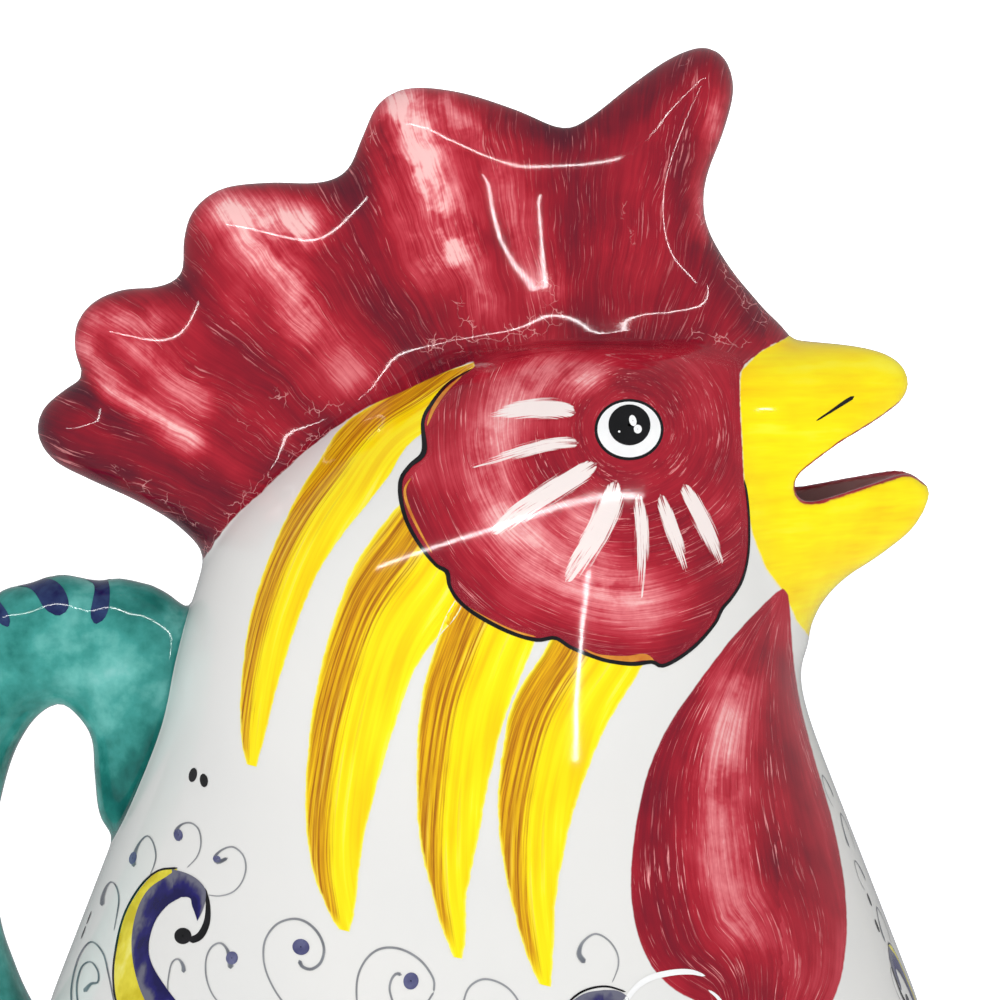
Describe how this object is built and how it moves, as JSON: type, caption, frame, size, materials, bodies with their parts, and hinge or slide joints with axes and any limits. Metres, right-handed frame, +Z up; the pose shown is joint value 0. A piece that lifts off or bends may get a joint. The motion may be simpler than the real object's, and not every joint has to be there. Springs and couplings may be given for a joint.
{
  "type": "pitcher",
  "caption": "Glazed earthenware pitcher in the form of a rooster: round bellied body, hollow lobed comb, open beak as the spout, and a loop handle.",
  "frame": {"origin": "centre of the foot ring, on the plane of the table", "axes": "+Z up, +X towards the beak, so the handle is on -X and the part is the same on both sides of the XZ plane"},
  "size_m": [0.2015, 0.173, 0.2557],
  "materials": {
    "foot_glaze": "glossy",
    "belly_glaze": "glossy",
    "neck_glaze": "glossy",
    "head_glaze": "glossy",
    "comb_glaze": "glossy",
    "beak_glaze": "glossy",
    "handle_glaze": "glossy"
  },
  "bodies": {
    "root": {"foot_ring": "foot_glaze", "belly": "belly_glaze", "neck": "neck_glaze", "head": "head_glaze", "comb": "comb_glaze", "upper_beak": "beak_glaze", "lower_beak": "beak_glaze", "handle": "handle_glaze"}
  },
  "joints": []
}
